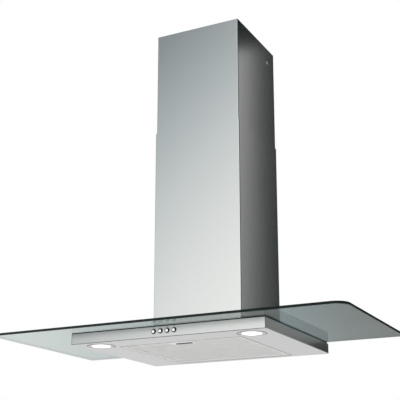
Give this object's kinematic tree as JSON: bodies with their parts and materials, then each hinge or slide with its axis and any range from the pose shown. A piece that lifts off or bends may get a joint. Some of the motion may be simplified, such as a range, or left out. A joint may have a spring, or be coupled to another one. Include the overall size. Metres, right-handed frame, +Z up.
{
  "type": "wall chimney range hood",
  "caption": "Flat-glass chimney range hood: slim steel body with push buttons, two lamps and a hinged grease filter, twin telescopic chimney covers and a blower inside.",
  "frame": {"origin": "midway between the two holes that hang the blower box, on the wall plane", "axes": "+X to the right across the hood, +Y into the wall, so the front faces -Y, and +Z up"},
  "size_m": [0.898, 0.461, 0.8506],
  "materials": {
    "brushed_steel": "satin, grain along the long side",
    "galvanised_steel": "dull zinc-coated sheet",
    "canopy_glass": "toughened, lightly smoked, polished edges",
    "black_seal": "matte",
    "zinc_fixings": "bright zinc",
    "grey_plastic": "moulded",
    "motor_aluminium": "die cast",
    "shaft_steel": "ground",
    "white_plastic": "moulded",
    "black_plastic": "moulded",
    "filter_aluminium": "satin",
    "filter_weave": "layered expanded mesh",
    "polished_chrome": "polished",
    "lamp_glass": "frosted",
    "bulb_glass": "clear capsule"
  },
  "bodies": {
    "hood": {"body_pan": "brushed_steel", "front_fascia": "brushed_steel", "body_top_plate": "galvanised_steel", "body_seal": "black_seal", "inlet_seal": "black_seal", "glass_panel": "canopy_glass", "blower_seal": "black_seal", "clamp_screws": "zinc_fixings", "clamp_nuts": "zinc_fixings", "blower_box": "galvanised_steel", "scroll_left": "grey_plastic", "scroll_right": "grey_plastic", "motor_body": "motor_aluminium", "motor_bracket": "galvanised_steel", "bracket_screws": "zinc_fixings", "capacitor": "white_plastic", "capacitor_clip": "galvanised_steel", "terminal_box": "white_plastic", "terminal_lid": "white_plastic", "cable_gland": "black_plastic", "outlet_collar": "grey_plastic", "collar_screws": "zinc_fixings", "lower_chimney": "brushed_steel", "chimney_clips": "galvanised_steel", "switch_block": "white_plastic", "lamp_holder_left": "galvanised_steel", "lamp_holder_right": "galvanised_steel", "lamp_bulb_left": "bulb_glass", "lamp_bulb_right": "bulb_glass"},
    "upper_cover": {"upper_chimney": "brushed_steel", "upper_bracket": "galvanised_steel", "upper_screws": "zinc_fixings"},
    "wheel": {"impeller_disc": "grey_plastic", "impeller_left": "grey_plastic", "impeller_right": "grey_plastic", "motor_shaft": "shaft_steel"},
    "front_flap": {"flap_front": "grey_plastic"},
    "rear_flap": {"flap_rear": "grey_plastic"},
    "filter": {"filter_frame": "filter_aluminium", "filter_mesh": "filter_weave"},
    "latch": {"filter_latch": "filter_aluminium"},
    "light_button": {"button_light": "polished_chrome"},
    "low_button": {"button_low": "polished_chrome"},
    "medium_button": {"button_medium": "polished_chrome"},
    "high_button": {"button_high": "polished_chrome"},
    "left_lamp_cover": {"lamp_ring_left": "polished_chrome", "lamp_lens_left": "lamp_glass"},
    "right_lamp_cover": {"lamp_ring_right": "polished_chrome", "lamp_lens_right": "lamp_glass"}
  },
  "joints": [
    {"name": "chimney_slide", "type": "slide", "parent": "hood", "child": "upper_cover", "axis": [0, 0, 1], "range_m": [-0.18, 0.18]},
    {"name": "wheel_spin", "type": "hinge", "parent": "hood", "child": "wheel", "pos_m": [0, -0.141, -0.101], "axis": [1, 0, 0], "continuous": true},
    {"name": "front_flap_hinge", "type": "hinge", "parent": "hood", "child": "front_flap", "pos_m": [0, -0.10735, 0.04105], "axis": [-1, 0, 0], "range_deg": [0, 78]},
    {"name": "rear_flap_hinge", "type": "hinge", "parent": "hood", "child": "rear_flap", "pos_m": [0, -0.10235, 0.04105], "axis": [1, 0, 0], "range_deg": [0, 78]},
    {"name": "filter_hinge", "type": "hinge", "parent": "hood", "child": "filter", "pos_m": [0, -0.0275, -0.2482], "axis": [1, 0, 0], "range_deg": [0, 60]},
    {"name": "latch_slide", "type": "slide", "parent": "filter", "child": "latch", "axis": [0, 1, 0], "range_m": [0, 0.0036], "stiffness_N_per_m": 300},
    {"name": "light_press", "type": "slide", "parent": "hood", "child": "light_button", "axis": [0, 1, 0], "range_m": [0, 0.0025], "stiffness_N_per_m": 400},
    {"name": "low_press", "type": "slide", "parent": "hood", "child": "low_button", "axis": [0, 1, 0], "range_m": [0, 0.0025], "stiffness_N_per_m": 400},
    {"name": "medium_press", "type": "slide", "parent": "hood", "child": "medium_button", "axis": [0, 1, 0], "range_m": [0, 0.0025], "stiffness_N_per_m": 400},
    {"name": "high_press", "type": "slide", "parent": "hood", "child": "high_button", "axis": [0, 1, 0], "range_m": [0, 0.0025], "stiffness_N_per_m": 400},
    {"name": "left_lamp_cover_pull", "type": "slide", "parent": "hood", "child": "left_lamp_cover", "axis": [0, 0, -1], "range_m": [0, 0.012]},
    {"name": "right_lamp_cover_pull", "type": "slide", "parent": "hood", "child": "right_lamp_cover", "axis": [0, 0, -1], "range_m": [0, 0.012]}
  ]
}
